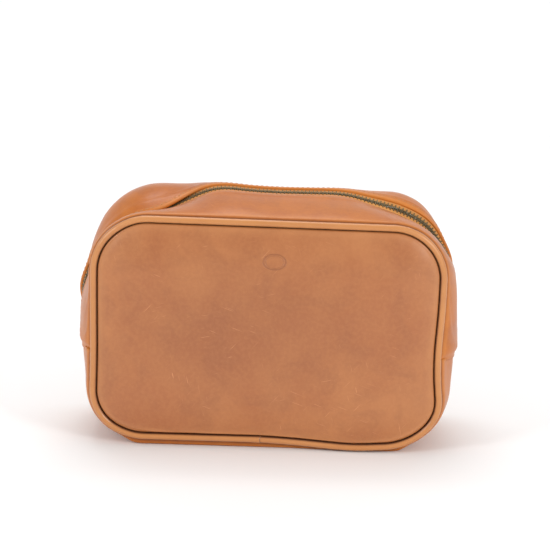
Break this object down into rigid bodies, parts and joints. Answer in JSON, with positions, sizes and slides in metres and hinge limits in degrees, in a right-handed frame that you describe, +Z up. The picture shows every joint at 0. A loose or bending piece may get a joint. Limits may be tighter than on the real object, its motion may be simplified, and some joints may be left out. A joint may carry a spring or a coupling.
{
  "type": "leather toiletry bag",
  "caption": "Soft rounded-box wash bag with piped front and back panels, an arched gusset and a metal zip over the top and down both sides.",
  "frame": {"origin": "middle of the flat base the bag stands on", "axes": "+X along the bag's width to the right, the front panel faces -Y, +Z up"},
  "size_m": [0.2501, 0.0934, 0.1614],
  "materials": {
    "tan_leather": "satin",
    "piping_leather": "satin",
    "cotton_cord": "matte",
    "tape_cloth": "matte",
    "thread": "matte",
    "brass": "antiqued",
    "lining_cloth": "matte"
  },
  "bodies": {
    "rear_shell": {"back_panel": "tan_leather", "back_piping": "piping_leather", "back_piping_cord": "cotton_cord", "rear_zip_gusset": "tan_leather", "bottom_gusset": "tan_leather", "rear_zip_tape": "tape_cloth", "rear_zip_teeth": "brass", "rear_top_stop": "brass", "bottom_stop": "brass", "back_lining": "lining_cloth", "rear_top_lining": "lining_cloth", "bottom_lining": "lining_cloth", "rear_zip_stitching": "thread", "gusset_end_stitching": "thread", "back_seam_stitching": "thread"},
    "front_shell": {"front_panel": "tan_leather", "front_piping": "piping_leather", "front_piping_cord": "cotton_cord", "front_zip_gusset": "tan_leather", "front_zip_tape": "tape_cloth", "front_zip_teeth": "brass", "front_zip_stitching": "thread", "front_top_stop": "brass", "front_lining": "lining_cloth", "front_top_lining": "lining_cloth", "front_seam_stitching": "thread"},
    "slider": {"slider_body": "brass"},
    "pull": {"slider_pull": "brass"}
  },
  "joints": [
    {"name": "mouth_open", "type": "hinge", "parent": "rear_shell", "child": "front_shell", "pos_m": [0, -0.0445, 0], "axis": [1, 0, 0], "range_deg": [0, 22], "stiffness_Nm_per_rad": 0.08, "deforming": ["front_zip_tape", "front_zip_teeth", "front_zip_stitching", "front_top_stop", "front_top_lining"]},
    {"name": "zip_slide", "type": "slide", "parent": "rear_shell", "child": "slider", "axis": [0, 0, 1], "range_m": [0, 0.032], "deforming": ["rear_zip_teeth", "rear_zip_tape"]},
    {"name": "pull_swing", "type": "hinge", "parent": "slider", "child": "pull", "pos_m": [0.12475, 0, 0.0745], "axis": [0, -1, 0], "range_deg": [0, 165]}
  ],
  "couplings": [
    {"joint": "zip_slide", "follows": "mouth_open", "m_per_rad": 0.083338}
  ]
}
